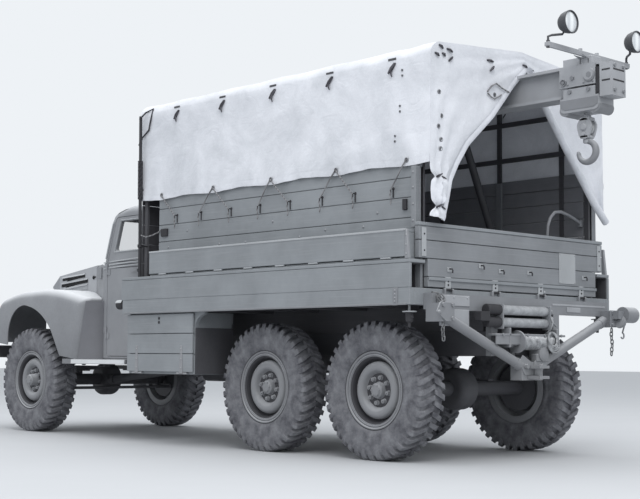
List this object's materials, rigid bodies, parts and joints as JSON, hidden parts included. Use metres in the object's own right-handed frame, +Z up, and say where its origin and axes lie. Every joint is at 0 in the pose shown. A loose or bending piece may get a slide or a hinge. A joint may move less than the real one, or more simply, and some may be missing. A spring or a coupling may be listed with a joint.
{
  "type": "military recovery truck",
  "caption": "Six-wheel-drive army recovery truck with cab, planked body, canvas tilt, lifting beam with hoist and hook, and rear tow gear.",
  "frame": {"origin": "on the ground, under the middle of the truck", "axes": "+X is forward, +Y is left, +Z is up"},
  "size_m": [7.39, 2.448, 3.234],
  "materials": {
    "paint": "matt weathered service paint",
    "wheel_paint": "matt service paint",
    "frame_steel": "matt dark paint with road dust",
    "tyre": "matt",
    "glass": "clear",
    "lamp": "matt paint with glass lenses",
    "seat": "worn leathercloth",
    "plastic": "satin",
    "canvas": "faded waterproofed canvas"
  },
  "bodies": {
    "truck": {"bonnet_sides": "paint", "cab_shell": "paint", "front_wings": "paint", "radiator_shell": "paint", "front_bumper": "paint", "body_floor": "paint", "side_boxes": "paint", "side_locker": "paint", "side_boards": "paint", "floor_lockers": "paint", "fuel_tank": "paint", "lifting_beam": "paint", "beam_supports": "paint", "lamp_bar": "paint", "tilt_frame": "paint", "chassis_frame": "frame_steel", "front_axle": "frame_steel", "rear_axles": "frame_steel", "leaf_springs": "frame_steel", "driveline": "frame_steel", "exhaust": "frame_steel", "engine_block": "frame_steel", "rear_beam": "frame_steel", "rear_winch": "frame_steel", "safety_chains": "frame_steel", "cab_glass": "glass", "lamps": "lamp", "cab_seat": "seat", "steering_wheel": "plastic", "canvas_tilt": "canvas"},
    "bonnet": {"bonnet": "paint"},
    "door_left": {"door_left": "paint"},
    "door_right": {"door_right": "paint"},
    "tailboard": {"tailboard": "paint"},
    "locker_flap": {"locker_flap": "paint"},
    "chest_door_left": {"chest_door_left": "paint"},
    "chest_door_right": {"chest_door_right": "paint"},
    "hoist": {"hoist_trolley": "paint"},
    "hook": {"hook_block": "frame_steel"},
    "knuckle_left": {"knuckle_left": "frame_steel"},
    "knuckle_right": {"knuckle_right": "frame_steel"},
    "tie_rod": {"tie_rod": "frame_steel"},
    "wheel_front_left": {"wheel_front_left": "wheel_paint", "tyre_front_left": "tyre"},
    "wheel_front_right": {"wheel_front_right": "wheel_paint", "tyre_front_right": "tyre"},
    "wheel_middle_left": {"wheel_middle_left": "wheel_paint", "tyre_middle_left": "tyre"},
    "wheel_middle_right": {"wheel_middle_right": "wheel_paint", "tyre_middle_right": "tyre"},
    "wheel_rear_left": {"wheel_rear_left": "wheel_paint", "tyre_rear_left": "tyre"},
    "wheel_rear_right": {"wheel_rear_right": "wheel_paint", "tyre_rear_right": "tyre"}
  },
  "joints": [
    {"name": "front_left_spin", "type": "hinge", "parent": "knuckle_left", "child": "wheel_front_left", "pos_m": [2.723, 0.822, 0.52], "axis": [0, 1, 0], "continuous": true},
    {"name": "front_right_spin", "type": "hinge", "parent": "knuckle_right", "child": "wheel_front_right", "pos_m": [2.723, -0.822, 0.52], "axis": [0, 1, 0], "continuous": true},
    {"name": "middle_left_spin", "type": "hinge", "parent": "truck", "child": "wheel_middle_left", "pos_m": [-0.916, 0.845, 0.52], "axis": [0, 1, 0], "continuous": true},
    {"name": "middle_right_spin", "type": "hinge", "parent": "truck", "child": "wheel_middle_right", "pos_m": [-0.916, -0.845, 0.52], "axis": [0, 1, 0], "continuous": true},
    {"name": "rear_left_spin", "type": "hinge", "parent": "truck", "child": "wheel_rear_left", "pos_m": [-2.155, 0.845, 0.52], "axis": [0, 1, 0], "continuous": true},
    {"name": "rear_right_spin", "type": "hinge", "parent": "truck", "child": "wheel_rear_right", "pos_m": [-2.155, -0.845, 0.52], "axis": [0, 1, 0], "continuous": true},
    {"name": "steer_left", "type": "hinge", "parent": "truck", "child": "knuckle_left", "pos_m": [2.723, 0.7, 0.52], "axis": [0, 0, 1], "range_deg": [-27, 27]},
    {"name": "steer_right", "type": "hinge", "parent": "truck", "child": "knuckle_right", "pos_m": [2.723, -0.7, 0.52], "axis": [0, 0, 1], "range_deg": [-27, 27]},
    {"name": "tie_rod_swing", "type": "hinge", "parent": "knuckle_left", "child": "tie_rod", "pos_m": [2.533, 0.7, 0.46], "axis": [0, 0, 1], "range_deg": [-27, 27]},
    {"name": "door_left_hinge", "type": "hinge", "parent": "truck", "child": "door_left", "pos_m": [1.568, 0.809, 1.25], "axis": [0, 0, -1], "range_deg": [0, 65]},
    {"name": "door_right_hinge", "type": "hinge", "parent": "truck", "child": "door_right", "pos_m": [1.568, -0.809, 1.25], "axis": [0, 0, 1], "range_deg": [0, 65]},
    {"name": "bonnet_hinge", "type": "hinge", "parent": "truck", "child": "bonnet", "pos_m": [2.084, 0, 1.734], "axis": [0, -1, 0], "range_deg": [0, 50]},
    {"name": "tailboard_hinge", "type": "hinge", "parent": "truck", "child": "tailboard", "pos_m": [-2.779, 0, 1.254], "axis": [0, -1, 0], "range_deg": [0, 90]},
    {"name": "locker_flap_hinge", "type": "hinge", "parent": "truck", "child": "locker_flap", "pos_m": [-1.195, 1.21, 1.4733], "axis": [-1, 0, 0], "range_deg": [0, 90]},
    {"name": "chest_door_left_hinge", "type": "hinge", "parent": "truck", "child": "chest_door_left", "pos_m": [0.182, 1.196, 0.62], "axis": [-1, 0, 0], "range_deg": [0, 90]},
    {"name": "chest_door_right_hinge", "type": "hinge", "parent": "truck", "child": "chest_door_right", "pos_m": [0.182, -1.196, 0.62], "axis": [1, 0, 0], "range_deg": [0, 90]},
    {"name": "hoist_travel", "type": "slide", "parent": "truck", "child": "hoist", "axis": [1, 0, 0], "range_m": [0, 2.2]},
    {"name": "hook_swivel", "type": "hinge", "parent": "hoist", "child": "hook", "pos_m": [-3.417, 0, 2.5], "axis": [0, 0, 1], "continuous": true}
  ],
  "couplings": [
    {"joint": "steer_right", "follows": "steer_left", "ratio": 1},
    {"joint": "tie_rod_swing", "follows": "steer_left", "ratio": -1}
  ]
}
